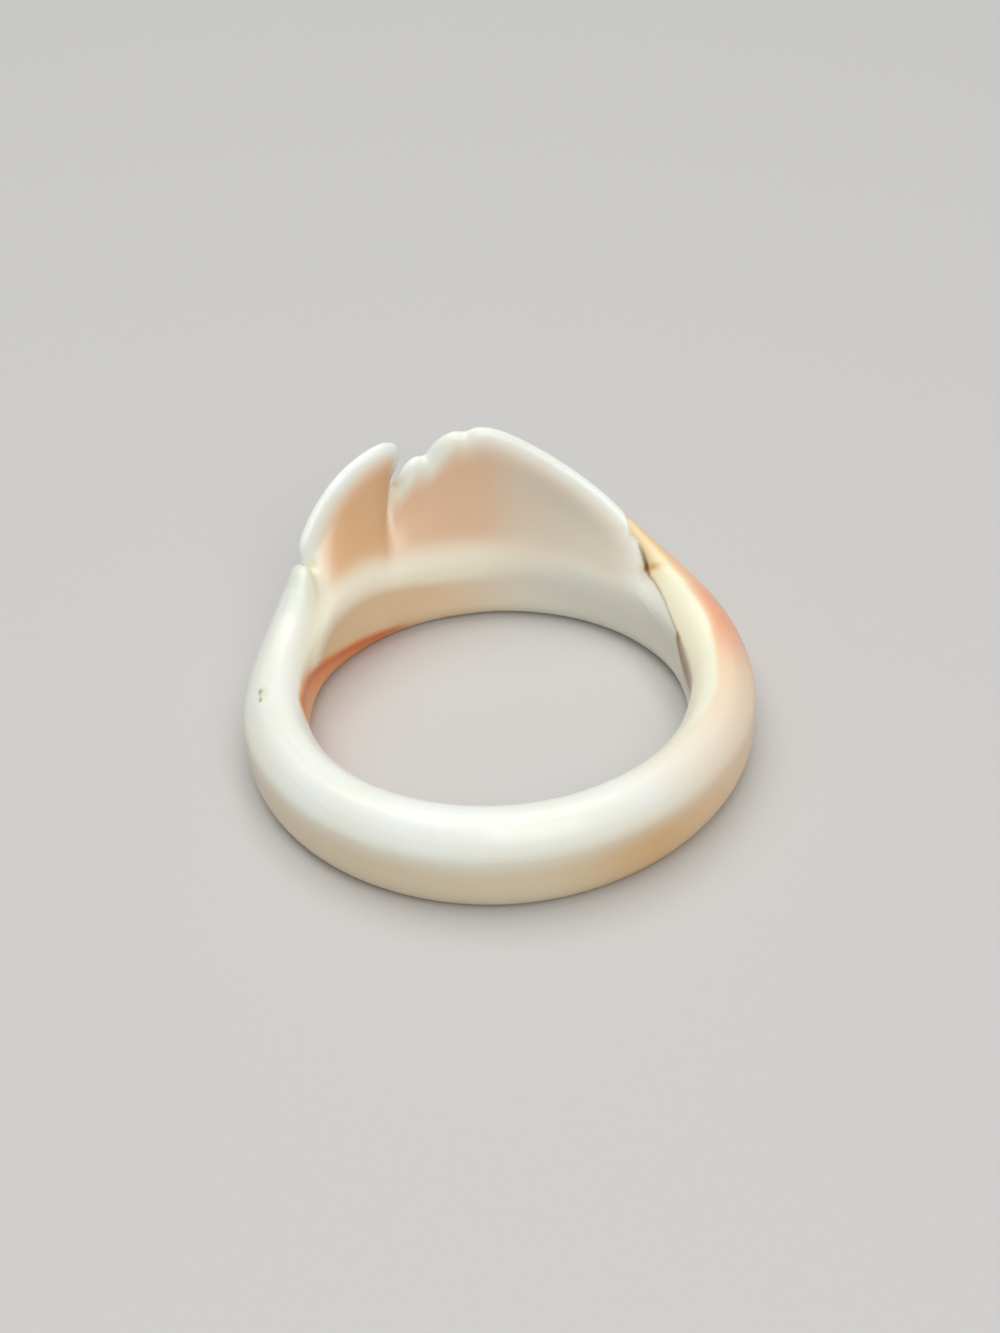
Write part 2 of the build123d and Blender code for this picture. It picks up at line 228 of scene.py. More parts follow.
rim_angle = np.unwrap(np.radians(direction), period=2 * np.pi)
rim_radius = bore_radius + reach
wall_top = WALL_TOP * relaxed(from_rows(wall_top_rows, foot), 3)
wall_foot = BAND_WIDTH * from_rows(wall_foot_rows, foot)

# petal is 1 where the section is a thin petal and 0 where it is a round band.
petal = zone(foot, PETALS)
thin = np.clip((THIN_STARTS - 2 * half / RIM_THICKNESS) / THIN_SPAN, 0, 1)
hollow = petal * zone(foot, DISH)
soft = petal * (1 - ramp(foot, *CALMING))

# How far the rim runs on from the section before to the one after, so that its rounding stands
# square to the edge, in the cleft too.
ahead = (np.roll(rim_angle, -1) - np.roll(rim_angle, 1) + np.pi) % (2 * np.pi) - np.pi
ahead = np.maximum(ahead * rim_radius, LEAST_RUN)


def rim_points(line, out, down):
    """Points off the rim line: out half thicknesses across it, and down half thicknesses along
    the line's own normal in the petal's surface, worked out from the two neighbours."""
    rise = np.roll(line, -1) - np.roll(line, 1)
    length = np.hypot(ahead, rise)
    return np.stack([reach + out * half, line - down * half * ahead / length,
                     rim_angle + down * half * rise / length / rim_radius], -1)


def own_points(outside, height):
    """Points on the section's own half plane: outside the bore wall, above the table."""
    level = np.ones(sections)
    return np.stack([outside * level, height * level, foot_angle], -1)


# The rim's corners, with the notches for the rim itself and without them for the faces below.
deep_in = DEPTH_IN_BAND + (DEPTH_IN_PETAL - DEPTH_IN_BAND) * soft
deep_in = deep_in + (DEPTH_IN_THIN - deep_in) * thin
deep_out = DEPTH_OUT + (DEPTH_OUT_THIN - DEPTH_OUT) * thin
notched = top - nick
inner_rim = rim_points(notched, RIM_CORNER_IN, deep_in)
outer_rim = rim_points(notched, RIM_CORNER_OUT, deep_out)
inner_plain = rim_points(top, RIM_CORNER_IN, deep_in)
outer_plain = rim_points(top, RIM_CORNER_OUT, deep_out)

# The dish, from the bore wall's upper edge to the rim's inner corner.
outward = np.array([1.0, 0.0, 0.0])
dish = outward * (DISH_DEPTH * hollow - LEFT_FILL * zone(foot, NOTCH_SWELL))[:, None]
wall_edge = own_points(-BORE_OVERLAP + EDGE_ROUNDING * zone(foot, RIGHT_WALL), wall_top)
inner_rim = blend(inner_rim, relaxed(inner_plain, 4), zone(foot, NOTCH_INSIDE))
calm = blend(relaxed(inner_plain, 2), relaxed(inner_plain, 5), ramp(foot, *CALMING))
aim_low = blend(inner_rim, relaxed(inner_plain, 8), petal)
aim_high = blend(inner_rim, calm, petal)
dish_low = blend(wall_edge, aim_low, DISH_SHARES[0]) + NEAR_RIM * dish
dish_high = blend(wall_edge, aim_high, DISH_SHARES[1]) + dish

# The outer face, from the rim's outer corner down to the belt.
head_belt = relaxed(petal, 4) * zone(foot, BELT)
belt_out = thickness + BAND_BELT_SWELL + (BELLY_SWELL - BAND_BELT_SWELL) * head_belt
band_height = BAND_BELT_HEIGHT * width
belt = own_points(belt_out, band_height + (BELLY_HEIGHT - band_height) * relaxed(petal, 2))
dome = outward * (FRONT_SWELL * hollow * (1 - zone(foot, CLEFT)))[:, None]
from_high = blend(outer_rim, relaxed(outer_plain, 2), petal)
from_low = blend(outer_rim, relaxed(outer_plain, 8), petal)
front_high = blend(from_high, belt, FRONT_SHARES[0]) + NEAR_RIM * dome
front_low = blend(from_low, belt, FRONT_SHARES[1]) + dome

# Seventeen control points to a section, from the foot of the bore wall up the dish, over the
# rim, down the outer face and back under the band.
wall = [own_points(-BORE_OVERLAP, wall_foot),
        own_points(-BORE_OVERLAP, wall_foot + WALL_MIDDLE * (wall_top - wall_foot)), wall_edge]
crown = [rim_points(notched, out, down + fall * soft) for out, down, fall in RIM_CROWN]
underneath = [own_points((thickness + belt_out) / 2, UNDER_BELT * width)]
underneath += [own_points(share * thickness, drop * BASE_OVERLAP) for share, drop in UNDERSIDE]
section_points = np.stack(wall + [dish_low, dish_high, inner_rim] + crown
                          + [outer_rim, front_high, front_low, belt] + underneath, 1)

# Fine positions along the ring and round the section, closer where the form turns sharply.
HEAD_STEP, BAND_STEP = 0.075, 0.21     # step along the ring that is aimed at
LEAST_STEPS, MOST_STEPS = 5, 16        # from one section to the next
ROUND_STEPS = [9, 9, 14, 12, 12, 9, 6, 6, 8, 8, 8, 6, 5, 4, 4, 4, 5]    # after each control point
rim_spot = np.stack([rim_radius * np.cos(rim_angle), rim_radius * np.sin(rim_angle), notched], 1)
foot_spot = bore_radius * np.stack([np.cos(foot_angle), np.sin(foot_angle)], 1)
rim_gap = np.linalg.norm(np.roll(rim_spot, -1, 0) - rim_spot, axis=1)
foot_gap = np.linalg.norm(np.roll(foot_spot, -1, 0) - foot_spot, axis=1)
in_band = np.arange(sections) >= len(rim_rows)
steps = np.maximum(rim_gap, foot_gap) / np.where(in_band, BAND_STEP, HEAD_STEP)
along = positions(np.clip(np.ceil(steps), LEAST_STEPS, MOST_STEPS).astype(int))
around = positions(ROUND_STEPS)

# The even turn is taken off the angle while the spline runs, so that it closes on itself.
section_points[..., 2] -= np.linspace(0, 2 * np.pi, sections, endpoint=False)[:, None]
grid = on_spline(section_points, along)
grid = np.swapaxes(on_spline(np.swapaxes(grid, 0, 1), around), 0, 1)
outside, height = grid[..., 0], grid[..., 1]
angle = grid[..., 2] + (along / sections * 2 * np.pi)[:, None]

# In the plain band the section's own curve runs back a little inside the bore, where the bore
# cuts it off. There the wall runs straight up from where the curve enters the bore to where it
# leaves it. order starts half way round, so that the stretch in the bore stays in one piece.
degrees = np.degrees(angle.mean(1)) % 360
straight = zone(degrees, STRAIGHT_WALL)
for row in np.nonzero(straight)[0]:
    order = np.roll(np.arange(len(around)), len(around) // 2)
    cut = order[outside[row, order] < 0]
    upright = np.linspace(height[row, cut[0]], height[row, cut[-1]], len(cut))
    height[row, cut] += straight[row] * (upright - height[row, cut])
height = np.maximum(height, 0)
outside = (outside + np.hypot(outside, WALL_SOFTNESS)) / 2


def ring_points(outside, height, angle):
    """Cylinder coordinates about the bore, made x, y, z: the radius is the bore's plus outside."""
    radius = bore_radius + outside
    return np.stack([radius * np.cos(angle), radius * np.sin(angle), height - BAND_WIDTH / 2], -1)


surface = ring_points(outside, height, angle)

# The ring's layers and marks, as fields over the same grid. place counts sections along the
# ring: 0 is the right shoulder, 23 the bottom of the cleft and 39 the left shoulder, and it is
# below zero in the band before the right shoulder. course counts control points round a
# section: 2 is the bore wall's upper edge, 7 the rim's crown, 12 the belt and 15 the underside.
LAST_PLACE, LAST_FOOT = 52, 290    # beyond these, place and foot_degrees start below zero
place = np.where(along > LAST_PLACE, along - sections, along)[:, None] + 0 * around
course = around[None, :] + 0 * place


def spacing(axis, position, period):
    """Length on the surface, in mm, of one unit of position, from the two neighbours."""
    step = np.roll(surface, -1, axis) - np.roll(surface, 1, axis)
    units = (np.roll(position, -1, axis) - np.roll(position, 1, axis)) % period
    return np.linalg.norm(step, axis=2) / units


per_course = spacing(1, course, len(ROUND_STEPS))
per_place = spacing(0, place, sections)


def off_line(rows):
    """Signed distance in mm from a line drawn over the grid, measured round the section: course
    less the line's own course at this place, times the section's spacing. The rows give the
    line's (place, course)."""
    return (course - from_rows(rows, place)) * per_course


def over_grid(values, once_round=0.0):
    """One value for each section made one for each point of the grid, by straight lines between
    the sections. once_round is what the value gains by going once round the ring."""
    closed = np.append(values, values[0] + once_round)
    return np.interp(along, np.arange(sections + 1), closed)[:, None] + 0 * course


def bell(distance, spread):
    """Bell curve of a distance: e to the power of minus (distance / spread) squared."""
    return np.exp(-(distance / spread) ** 2)


foot_degrees = np.degrees(over_grid(foot_angle, 2 * np.pi))
foot_degrees = np.where(foot_degrees > LAST_FOOT, foot_degrees - 360, foot_degrees)
above_edge = height - over_grid(wall_top)
inner_side = course < 8

# The crack between the inner white layer and the outer cream one: it leaves the rim on the
# right shoulder, opens to a dark pit and runs down to the edge of the bore, where a brown wedge
# of painted shadow lies on the bore wall. Beside it the outer layer stands a little proud, stained
# amber near the pit, and the inner one has a painted white highlight. seam is the distance in mm
# from its line.
GROOVE_DEPTH, PIT_DEPTH, STEP_HEIGHT = 0.03, 0.06, 0.02
PIT_PLACE, PIT_SPREAD = 3.6, 0.16
AMBER_PLACE, AMBER_COURSE, AMBER_SPREAD = 3.4, 5.75, 0.26
AMBER_STRETCH = 1.6    # the amber spot's length along the ring, as a multiple of its width
AMBER_SLANT = 1.6      # how far the spot's course falls over one place
seam = off_line([
    (-3.2, 5.0), (-2.3, 5.04), (-1.7, 5.03), (-1.2, 4.85), (-0.6, 4.8), (-0.2, 4.91), (0.2, 5.04),
    (0.9, 5.17), (1.4, 5.26), (1.9, 5.35), (2.3, 5.38), (2.8, 5.39), (3.17, 5.3), (3.58, 5.45),
    (3.75, 5.6), (4.0, 5.79), (4.29, 5.93), (4.59, 6.16), (4.83, 5.98), (4.94, 5.95), (5.26, 6.45),
    (5.46, 7.13), (7.0, 8.6),
])
seam_dark = from_rows([
    # place, strength
    (-3.0, 0), (-2.3, .2), (-1.7, .25), (-0.2, .3), (0.2, .4), (0.5, .35), (1.4, .3), (2.0, .4),
    (2.6, .45), (3.1, .5), (3.35, .85), (3.6, 1), (3.9, .9), (4.3, .6), (4.5, .25), (4.8, .15),
    (5.3, .2), (5.5, .4), (5.8, .1), (6.6, 0),
], place)
seam_half = from_rows([
    # place, half width
    (-2.6, .04), (-1.6, .06), (1.8, .05), (2.9, .055), (3.2, .07), (3.5, .13), (3.9, .11),
    (4.3, .08), (4.6, .07), (5.4, .06),
], place)
# Where the brown wedge of painted shadow lies on the bore wall.
shadow_wedge_rows = [
    # place, middle above the table, half width
    (-2.5, 3.15, .06), (-2.1, 2.98, .3), (-1.7, 2.74, .56), (-1.2, 2.52, .7), (-0.65, 2.5, .76),
    (-0.3, 2.72, .62), (-0.1, 2.9, .5), (0.1, 3.15, .36), (0.3, 3.42, .15), (0.5, 3.5, .02),
]
shadow_wedge = (height - from_rows(shadow_wedge_rows, place)) / from_rows(shadow_wedge_rows, place, 2)
shadow_wedge_dark = (1 - ramp(course, 5.2, 5.6)) * zone(place, (-2.6, -1.9, 0.1, 0.5))
shadow_wedge_dark = shadow_wedge_dark * (1 - ramp(outside, 0.1, 0.2))
groove = GROOVE_DEPTH * seam_dark * bell(seam, 1.5 * seam_half + 0.03) * ramp(place, -1.0, 0.5)
proud = zone(seam, (-0.04, 0.08, 0.5, 1.4)) * zone(place, (-0.5, 1.0, 3.6, 4.8))
pit_reach = np.hypot((place - PIT_PLACE) * per_place, seam + 0.03)
pit = PIT_DEPTH * bell(pit_reach, PIT_SPREAD)
amber_along = place - AMBER_PLACE
amber_round = (course - AMBER_COURSE + AMBER_SLANT * amber_along) * per_course
amber = bell(np.hypot(amber_along * per_place / AMBER_STRETCH, amber_round), AMBER_SPREAD)
soaked = zone(place, (1.8, 4.4, 5.3, 6.2)) * ramp(seam, 0.0, 0.1) * (1 - ramp(course, 8.0, 9.0))
# A painted white highlight on the inner layer's edge beside the crack.
crack_edge_highlight = zone(place, (0.0, 1.2, 3.0, 4.6)) * zone(seam, (-1.1, -0.25, -0.02, 0.02))

# The hand-worked surface is never quite even: a few long, very shallow waves.
LONG_WAVE, SHORT_WAVE = 0.006, 0.005
waves = LONG_WAVE * np.sin(3 * angle + 0.7 * course)
waves = waves + SHORT_WAVE * np.sin(7 * angle - 1.1 * course + 1.0)
waves = waves * ramp(outside, 0.1, 0.6) * ramp(height, 0.1, 0.6)

# All of these move the surface along its own normal, which is the cross product of its two
# directions, with the sign that makes the volume inside it more than zero.
across = np.cross(np.roll(surface, -1, 0) - np.roll(surface, 1, 0),
                  np.roll(surface, -1, 1) - np.roll(surface, 1, 1))
across = across * np.sign((across * surface).sum())
normal = across / np.maximum(np.linalg.norm(across, axis=2, keepdims=True), 1e-9)
surface = surface + normal * (waves + STEP_HEIGHT * proud - groove - pit)[..., None]

# How far each colour of the petals reaches: white along the rim, tan in the hollow and dull grey
# towards the right shoulder, with a pale ledge where the dish meets the bore wall. The warm and tan
# tones are partly the shell's own and partly painted shade that deepens into the hollow; the dull
# grey is partly painted shade too, and the pale ledge is a painted highlight on its rounded edge.
# The white reaches further down beside the cleft on the large petal, and not so far on the small
# one. below_rim is the distance in mm down the inner face from the rim's crown, over the surface.
run = np.cumsum(np.linalg.norm(surface - np.roll(surface, 1, 1), axis=2), 1)
below_rim = run[:, [np.searchsorted(around, 7)]] - run
white_rim = 0.2 * zone(foot_degrees, (102, 108, 119, 121))
cleft_side = zone(place, (23.4, 24.2, 25.6, 27.8)) * (1 - ramp(course, 5.0, 6.0))
off_wall = ramp(course, 1.8, 3.0)
in_hollow = off_wall * ramp(above_edge, -0.5, 1.9)
warm_and_hollow_shade = ramp(below_rim - white_rim, 0.25, 1.2) * ramp(course, 1.6, 2.6)
warm_and_hollow_shade = warm_and_hollow_shade * zone(foot_degrees, (40, 60, 146, 156))
tan_and_hollow_shade = ramp(below_rim - white_rim, 0.35, 1.9) * in_hollow * zone(foot_degrees, (56, 96, 140, 150))
small_tan_and_hollow_shade = ramp(below_rim + cleft_side, 0.25, 1.9) * in_hollow * zone(foot_degrees, (120, 124, 138, 148))
# The dull grey is partly the inner layer's own greyish white and partly painted shade.
dull_grey_and_shade = ramp(below_rim, 0.4, 1.6) * off_wall * zone(foot_degrees, (32, 56, 66, 104))
# The pale ledge is a painted highlight on the rounded edge where the dish meets the bore wall.
ledge_highlight = ramp(above_edge, -0.8, -0.1) * (1 - ramp(outside, 0.2, 1.0)) * inner_side
ledge_highlight = ledge_highlight * zone(foot_degrees, (70, 100, 160, 176))

# The bore is beige on the left and grey on the right, the grey partly painted shade, and
# rust-coloured along its lower edge on the left. rust is the distance in mm down from the upper
# end of that colour.
in_bore = (1 - ramp(outside, 0.04, 0.32)) * inner_side + ramp(course, 15.6, 16.4)
beige = in_bore * zone(foot_degrees, (52, 118, 188, 204)) * (1 - 0.8 * ledge_highlight)
grey_and_shade = np.maximum(in_bore, (1 - ramp(outside, 0.1, 0.7)) * inner_side)
grey_and_shade = grey_and_shade * zone(foot_degrees, (-14, 6, 56, 116))
rust = from_rows([
    # foot, height
    (96, 0.1), (110, 0.55), (123, 0.93), (130, 1.15), (137, 1.38), (147, 1.79), (159, 2.45),
    (172, 3.1), (185, 3.55), (194, 3.0), (204, 1.5), (214, 0.1),
], foot_degrees) - height
rust_share = np.where(inner_side, 1 - ramp(outside, 0.07, 0.38), ramp(course, 14.0, 15.2))
rust_share = rust_share * zone(foot_degrees, (110, 130, 190, 216))

# The outer layer is pink beyond a line that runs over the right shoulder and on along the outer
# side of the rim, and cream between the crack and that line. outer is the distance in mm from
# the line.
outer = off_line([
    (-6.0, 4.9), (-4.9, 5.6), (-4.41, 6.17), (-4.03, 6.48), (-3.67, 6.57), (-3.33, 6.76),
    (-3.0, 6.86), (-2.54, 6.91), (-1.94, 6.84), (-1.48, 6.87), (-0.97, 6.95), (-0.36, 7.03),
    (0.22, 7.1), (0.79, 7.14), (1.55, 7.24), (2.02, 7.28), (2.69, 7.29), (3.34, 7.3), (3.9, 7.3),
    (4.6, 7.4), (6.0, 8.2), (9.0, 9.0), (20.0, 9.1), (22.0, 10.2), (26.0, 10.2), (28.5, 9.2),
    (34.0, 9.2), (40.0, 11.0),
])
pink = from_rows([
    # place, strength
    (-6.0, 0), (-4.8, .1), (-3.5, .25), (-2.5, .35), (-1.7, .5), (-1.0, .8), (-0.3, 1), (1.0, 1),
    (1.8, .8), (2.8, .75), (4.0, .6), (6.0, .5), (20.0, .55), (34.0, .4), (40.0, 0),
], place)
pink = pink * zone(course, (4.0, 5.5, 12.0, 14.0))
cream = from_rows([(-5.5, 0), (-3.5, .5), (-1.0, 1), (4.5, 1), (6.5, .4), (8.0, 0)], place)
cream = cream * (1 - ramp(course, 13.0, 14.5)) * ramp(seam, -0.02, 0.1) * ramp(outside, 0.0, 0.15)

# The left shoulder's small flat step, its facets coloured as the light falls on them: a cream
# painted shade on its inside, a cool painted reflection on top, and a grey painted shadow line
# round its end.
inner_facet_shade = zone(place, (36.0, 36.8, 40.0, 42.0)) * zone(course, (3.8, 4.8, 5.7, 6.5))
top_facet_reflection = 0.6 * zone(place, (36.6, 37.4, 40.3, 40.6)) * zone(course, (5.6, 6.2, 9.0, 10.0))
facet_shadow_line = zone(place, (40.2, 40.8, 41.2, 41.9)) * zone(course, (5.9, 6.5, 7.4, 8.2))

# The small petal's right edge stands in front of the large one's left edge, which shows as a
# painted cream highlight along that edge with a painted shade beside it on the small petal. beside
# is the distance in mm from the line between the two, above zero on the small petal.
beside = (place - from_rows([
    # course, place
    (3.2, 23.6), (3.5, 24.2), (4.06, 24.4), (4.46, 24.07), (5.24, 23.7), (6.2, 23.1), (7.14, 22.4),
], course)) * per_place
crease_highlight = bell(beside + 0.2, 0.18) * zone(course, (3.0, 4.2, 6.4, 7.2))
crease_shade = bell(beside - 0.14, 0.16) * zone(course, (3.6, 4.6, 5.6, 6.6))

# The band is deeper and warmer in colour low on its outside, most on the right: partly the
# shell's own tone, partly painted shade.
under_tone_and_shade = zone(course, (8.0, 11.6, 14.5, 15.5)) * (1 - zone(foot_degrees, (-20, 20, 150, 180)))
under_right_tone_and_shade = under_tone_and_shade * zone(degrees, (275, 305, 345, 358))[:, None]

# Wear on the left: a hair-fine line along the band, a chip of two dots joined by a scratch, with
# a greenish stain round it, and three short grey scratches lower down.
CHIP_PLACE, MARK_PLACE, MARK_COURSE = 44.34, 45.18, 9.6
hair = off_line([(46.0, 8.2), (46.4, 8.25), (46.9, 8.38), (47.5, 8.5), (47.9, 8.88), (48.3, 9.1)])
hair_dark = zone(place, (46.2, 46.8, 47.6, 48.0))
chip_round = off_line([(44.0, 7.78), (45.0, 7.76)])
chip_along = (place - CHIP_PLACE) * per_place
mark_round = (course - MARK_COURSE) * per_course
mark_along = (place - MARK_PLACE) * per_place


def closed_mesh(name, points, fields):
    """Mesh in metres of a grid in millimetres that is closed both ways: four neighbours make a
    face, and the last row and column join the first. fields are one value for each point."""
    rows, columns = points.shape[:2]
    index = np.arange(rows * columns).reshape(rows, columns)
    quads = np.stack([index, np.roll(index, -1, 0), np.roll(np.roll(index, -1, 0), -1, 1),
                      np.roll(index, -1, 1)], -1).reshape(-1, 4)
    flat = points.reshape(-1, 3)
    a, b, c, d = (flat[quads[:, i]] for i in range(4))
    volume = (np.cross(c - a, d - b) * (a + b + c + d)).sum()
    if volume < 0:
        quads = quads[:, ::-1]
    mesh = bpy.data.meshes.new(name)
    mesh.vertices.add(len(flat))
    mesh.vertices.foreach_set("co", (flat / 1000).astype(np.float32).ravel())
    mesh.loops.add(quads.size)
    mesh.loops.foreach_set("vertex_index", quads.astype(np.int32).ravel())
    mesh.polygons.add(len(quads))
    mesh.polygons.foreach_set("loop_start", np.arange(0, quads.size, 4, dtype=np.int32))
    mesh.polygons.foreach_set("use_smooth", np.ones(len(quads), dtype=bool))
    mesh.update(calc_edges=True)
    mesh.validate()
    for field_name, values in fields.items():
        layer = mesh.attributes.new(field_name, "FLOAT", "POINT")
        layer.data.foreach_set("value", np.asarray(values, dtype=np.float32).ravel())
    return mesh


ring_mesh = closed_mesh("shell_ring", surface, {
    "warm_and_hollow_shade": warm_and_hollow_shade, "tan_and_hollow_shade": tan_and_hollow_shade, "small_tan_and_hollow_shade": small_tan_and_hollow_shade, "dull_grey_and_shade": dull_grey_and_shade, "ledge_highlight": ledge_highlight,
    "beige": beige, "grey_and_shade": grey_and_shade, "rust": rust, "rust_share": rust_share,
    "outer": outer, "pink": pink, "cream": cream,
    "inner_facet_shade": inner_facet_shade, "top_facet_reflection": top_facet_reflection, "facet_shadow_line": facet_shadow_line,
    "crease_highlight": crease_highlight, "crease_shade": crease_shade,
    "under_tone_and_shade": under_tone_and_shade, "under_right_tone_and_shade": under_right_tone_and_shade,
    "seam": seam, "seam_dark": seam_dark, "seam_half": seam_half, "pit_reach": pit_reach,
    "shadow_wedge": shadow_wedge, "shadow_wedge_dark": shadow_wedge_dark, "amber": amber, "soaked": soaked, "crack_edge_highlight": crack_edge_highlight,
    "hair": hair, "hair_dark": hair_dark, "chip_round": chip_round, "chip_along": chip_along,
    "mark_round": mark_round, "mark_along": mark_along,
})
ring = bpy.data.objects.new("shell_ring", ring_mesh)
bpy.context.collection.objects.link(ring)

# The shell itself: a hard, polished, slightly see-through white, in layers of cream, tan, pink
# and orange, with a brown crack and a few small marks from wear. Some shade and highlights are
# painted into its colour as well.
shell = bpy.data.materials.new("polished_shell")
shell.use_nodes = True
nodes, links = shell.node_tree.nodes, shell.node_tree.links
nodes.clear()
output = nodes.new("ShaderNodeOutputMaterial")
principled = nodes.new("ShaderNodeBsdfPrincipled")
links.new(principled.outputs["BSDF"], output.inputs["Surface"])
place_on = nodes.new("ShaderNodeTexCoord").outputs["Object"]


def colour(red, green, blue):
    """A colour given as 0 to 255 on the screen, made linear: ((c + 0.055) / 1.055) ^ 2.4."""
    c = np.array([red, green, blue]) / 255
    linear = np.where(c <= 0.04045, c / 12.92, ((c + 0.055) / 1.055) ** 2.4)
    return (*(float(x) for x in linear), 1.0)


def field(name):
    """A node that reads one of the mesh's fields."""
    node = nodes.new("ShaderNodeAttribute")
    node.attribute_name = name
    return node.outputs["Fac"]


def maths(operation, *values, clamp=False):
    """A Math node over sockets and plain numbers."""
    node = nodes.new("ShaderNodeMath")
    node.operation, node.use_clamp = operation, clamp
    for socket, value in zip(node.inputs, values):
        if isinstance(value, (int, float)):
            socket.default_value = value
        else:
            links.new(value, socket)
    return node.outputs[0]


def root_of_squares(a, b):
    """The square root of a squared plus b squared."""
    return maths("SQRT", maths("ADD", maths("POWER", a, 2.0), maths("POWER", b, 2.0)))


def noise(vector, scale, detail):
    """Noise from 0 to 1 over a vector in metres, with scale cells to the metre."""
    node = nodes.new("ShaderNodeTexNoise")
    node.inputs["Scale"].default_value = scale
    node.inputs["Detail"].default_value = detail
    links.new(vector, node.inputs["Vector"])
    return node.outputs["Fac"]


def mottle(size, detail=3.0):
    """Noise in object space whose patches are about size millimetres across."""
    return noise(place_on, 1000 / size, detail)


def smooth(value, low, high, to_low=0.0, to_high=1.0):
    """Smooth step from low to high, as a Map Range node."""
    node = nodes.new("ShaderNodeMapRange")
    node.interpolation_type = "SMOOTHSTEP"
    links.new(value, node.inputs["Value"])
    for name, number in (("From Min", low), ("From Max", high), ("To Min", to_low), ("To Max", to_high)):
        node.inputs[name].default_value = number
    return node.outputs["Result"]


def near(distance, full, gone):
    """1 where the distance either way is under full, falling by a smooth step to 0 at gone."""
    return smooth(maths("ABSOLUTE", distance), full, gone, 1.0, 0.0)


def wavy(name, pattern, depth):
    """A field's distance made uneven: the pattern less a half, times depth, is added to it."""
    return maths("ADD", field(name), maths("MULTIPLY_ADD", pattern, depth, -depth / 2))


def tinted(under_colour, share, over_colour, most=1.0):
    """Lays over_colour on the colour so far, by share times most."""
    node = nodes.new("ShaderNodeMix")
    node.data_type = "RGBA"
    links.new(maths("MULTIPLY", share, most, clamp=True), node.inputs["Factor"])
    if isinstance(under_colour, tuple):
        node.inputs["A"].default_value = under_colour
    else:
        links.new(under_colour, node.inputs["A"])
    node.inputs["B"].default_value = over_colour
    return node.outputs["Result"]


def in_layers(under_colour, layers):
    """Lays on one colour after the other. A layer gives its field, its colour on the screen, the
    most of it, and whether the broad patches thin it here and there."""
    for name, tone, most, patchy in layers:
        share = maths("MULTIPLY", field(name), uneven) if patchy else field(name)
        under_colour = tinted(under_colour, share, colour(*tone), most)
    return under_colour


broad, middling, fine = mottle(5.0), mottle(1.3), mottle(0.25, 2.0)
uneven = maths("MULTIPLY_ADD", broad, 0.5, 0.75)

# Growth streaks that run round the ring: noise over the distance from the bore's axis and the
# height alone, bent a little by the broad noise.
apart = nodes.new("ShaderNodeSeparateXYZ")
links.new(place_on, apart.inputs[0])
bent = maths("MULTIPLY", broad, 0.0016)    # metres
streak_at = nodes.new("ShaderNodeCombineXYZ")
links.new(maths("ADD", root_of_squares(apart.outputs[0], apart.outputs[1]), bent), streak_at.inputs[0])
links.new(maths("ADD", apart.outputs[2], bent), streak_at.inputs[1])
streaks = noise(streak_at.outputs[0], 1900, 2.0)

# The white body of the shell in two shades, its streaks, and the colours of the band, the
# petals and the bore. Painted shade is laid in low on the band, in the petals' hollow and their
# dull grey, beside the crease and in the bore's grey, with painted highlights along the crease
# and the ledge.
look = tinted(colour(249, 254, 248), smooth(broad, 0.35, 0.7), colour(247, 248, 236))
look = tinted(look, smooth(streaks, 0.5, 0.75), colour(240, 228, 204), 0.3)
look = in_layers(look, [
    ("under_tone_and_shade", (226, 204, 166), 0.8, False),
    ("under_right_tone_and_shade", (230, 178, 108), 0.7, False),
    ("warm_and_hollow_shade", (244, 228, 204), 0.75, False),
    ("tan_and_hollow_shade", (236, 199, 165), 1.0, True),
    ("small_tan_and_hollow_shade", (231, 184, 134), 0.85, True),
    ("crease_highlight", (246, 228, 202), 0.7, False),
    ("crease_shade", (206, 160, 112), 0.55, False),
    ("dull_grey_and_shade", (216, 207, 190), 0.85, False),
    ("ledge_highlight", (255, 246, 224), 0.85, False),
    ("beige", (236, 196, 144), 0.9, True),
    ("grey_and_shade", (218, 217, 203), 0.85, False),
])

# The rust-coloured lower edge of the bore, with a browner line near its upper end, and paler
# again further down.
rust_wavy = wavy("rust", middling, 0.3)
rust_share = maths("MULTIPLY", smooth(rust_wavy, -0.3, 0.25), field("rust_share"))
rust_line = near(maths("SUBTRACT", rust_wavy, 0.35), 0.0, 0.4)
look = tinted(look, rust_share, colour(244, 134, 34))
look = tinted(look, maths("MULTIPLY", rust_line, rust_share), colour(196, 98, 26), 0.6)
rust_end = smooth(rust_wavy, 0.6, 1.5)
look = tinted(look, maths("MULTIPLY", rust_end, rust_share), colour(246, 178, 112), 0.7)

# The outer layer: cream beside the crack, then pink and orange beyond a thin darker line, with
# faint growth lines that follow it.
look = in_layers(look, [("cream", (255, 251, 220), 0.9, False)])
outer_wavy = wavy("outer", middling, 0.24)
pink_share = maths("MULTIPLY", smooth(outer_wavy, -0.4, 0.3), field("pink"))
outer_line = maths("MULTIPLY", near(outer_wavy, 0.0, 0.25), field("pink"))
growth = smooth(maths("SINE", maths("MULTIPLY", outer_wavy, 17.0)), 0.2, 1.0)
look = tinted(look, pink_share, colour(254, 172, 132), 0.9)
look = tinted(look, outer_line, colour(244, 190, 128), 0.4)
look = tinted(look, maths("MULTIPLY", growth, pink_share), colour(252, 206, 170), 0.15)

